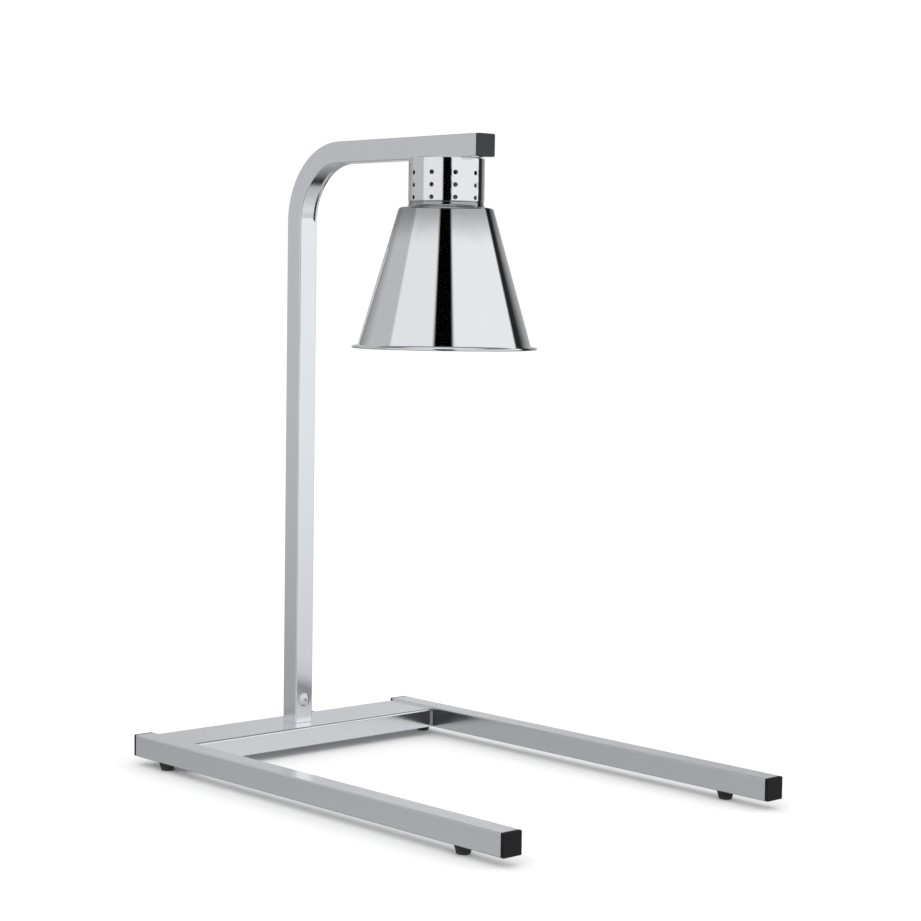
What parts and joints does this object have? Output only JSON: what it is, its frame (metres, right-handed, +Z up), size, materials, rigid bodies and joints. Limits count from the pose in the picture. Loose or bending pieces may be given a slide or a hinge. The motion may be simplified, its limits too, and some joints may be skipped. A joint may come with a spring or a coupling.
{
  "type": "heat lamp warmer",
  "caption": "Counter-top food heat lamp: bent square tube post and arm on a flat U base, with a polished cone shade and vented collar.",
  "frame": {"origin": "centre of the whole object's box in plan, on the counter under the rubber feet; the post's axis stands 239.8 mm behind it and the lamp's axis 15.7 mm in front of it", "axes": "+Z up, +X towards the open front of the base and along the arm, +Y to the left when looking forwards"},
  "size_m": [0.6844, 0.417, 0.725],
  "materials": {
    "tube_steel": "satin brushed stainless",
    "channel_steel": "bright satin stainless",
    "weld": "ground weld bead",
    "polished_sheet": "mirror polished",
    "black_plastic": "fine moulded texture",
    "black_rubber": "matt",
    "zinc": "bright zinc plated",
    "cord_jacket": "semi-matt jacket",
    "brass": "bright brass",
    "porcelain": "glazed porcelain",
    "bulb_glass": "clear front",
    "bulb_silver": "silvered inside",
    "bulb_metal": "rolled cap",
    "black_glass": "black glass insulator",
    "clear_glass": "stem glass",
    "wire_brown": "heat resistant sleeve",
    "wire_blue": "heat resistant sleeve",
    "wire_green": "heat resistant sleeve",
    "switch_plastic": "moulded",
    "rocker_plastic": "moulded",
    "tungsten": "drawn wire"
  },
  "bodies": {
    "stand": {"base_rail_right": "tube_steel", "base_rail_left": "tube_steel", "base_cross_channel": "channel_steel", "base_weld_beads": "weld", "rail_front_caps": "black_plastic", "rail_rear_caps": "black_plastic", "rubber_feet": "black_rubber", "foot_washers": "zinc", "foot_screws": "zinc", "foot_rivet_nuts": "zinc", "post_stub": "channel_steel", "post_and_arm_tube": "tube_steel", "arm_end_cap": "black_plastic", "post_screw": "zinc", "post_screw_nut": "zinc", "vented_collar": "polished_sheet", "lamp_shade": "polished_sheet", "shade_screws": "zinc", "shade_nuts": "zinc", "threaded_nipple": "zinc", "nipple_washer": "zinc", "earth_tag": "brass", "nipple_nuts": "zinc", "holder_bracket": "zinc", "porcelain_holder": "porcelain", "holder_screw_shell": "brass", "holder_centre_contact": "brass", "holder_terminal_screws": "brass", "holder_screws": "zinc", "switch_housing": "switch_plastic", "switch_terminals": "brass", "cord_bush": "black_rubber", "power_cord": "cord_jacket", "cord_tie": "black_plastic", "plug_body": "black_plastic", "plug_pins": "brass", "wire_neutral": "wire_blue", "wire_live": "wire_brown", "wire_earth": "wire_green"},
    "rocker": {"switch_rocker": "rocker_plastic"},
    "bulb": {"bulb_screw_cap": "bulb_metal", "bulb_insulator": "black_glass", "bulb_contact": "bulb_metal", "bulb_glass": "bulb_glass", "bulb_reflector": "bulb_silver", "bulb_stem": "clear_glass", "bulb_lead_wires": "tungsten", "bulb_filament": "tungsten"}
  },
  "joints": [
    {"name": "switch_rock", "type": "hinge", "parent": "stand", "child": "rocker", "pos_m": [-0.2527, 0, 0.205], "axis": [0, 1, 0], "range_deg": [-22, 0]},
    {"name": "bulb_unscrew_and_lower", "type": "slide", "parent": "stand", "child": "bulb", "axis": [0, 0, -1], "range_m": [0, 0.25]}
  ]
}
